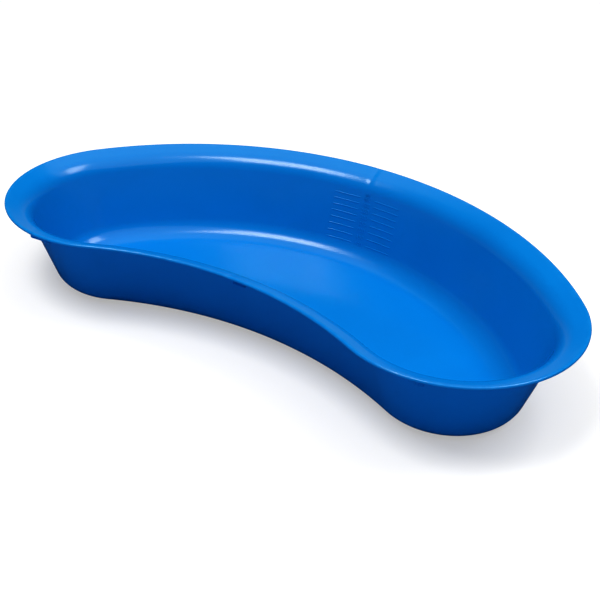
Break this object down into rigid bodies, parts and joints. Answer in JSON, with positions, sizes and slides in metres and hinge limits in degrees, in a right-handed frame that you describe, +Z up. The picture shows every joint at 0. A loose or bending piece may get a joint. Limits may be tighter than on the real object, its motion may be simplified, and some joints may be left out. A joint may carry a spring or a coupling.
{
  "type": "kidney dish",
  "caption": "Kidney-shaped hospital dish with a hollow front, flared rim, stacking gussets and a raised volume scale inside the back wall; holds fluids, swabs and instruments.",
  "frame": {"origin": "centre of the footprint box at the level of the flat underside, so the dish stands on z = 0", "axes": "+X along the dish's length, +Y towards the convex back wall (the hollow front faces -Y), +Z up out of the open mouth"},
  "size_m": [0.256, 0.136, 0.0395],
  "materials": {
    "dish_body": "semi-gloss moulded polypropylene, opaque mid blue",
    "scale_marks": "same polypropylene as the dish, raised marks with slightly worn crests"
  },
  "bodies": {
    "root": {"floor_panel": "dish_body", "base_curve_back": "dish_body", "base_curve_front": "dish_body", "base_curve_left_end": "dish_body", "base_curve_right_end": "dish_body", "wall_back": "dish_body", "wall_front": "dish_body", "wall_left_end": "dish_body", "wall_right_end": "dish_body", "rim_back": "dish_body", "rim_front": "dish_body", "rim_left_end": "dish_body", "rim_right_end": "dish_body", "stacking_gussets": "dish_body", "scale_lines_left": "scale_marks", "scale_lines_right": "scale_marks", "scale_numbers": "scale_marks", "scale_unit_mark": "scale_marks"}
  },
  "joints": []
}
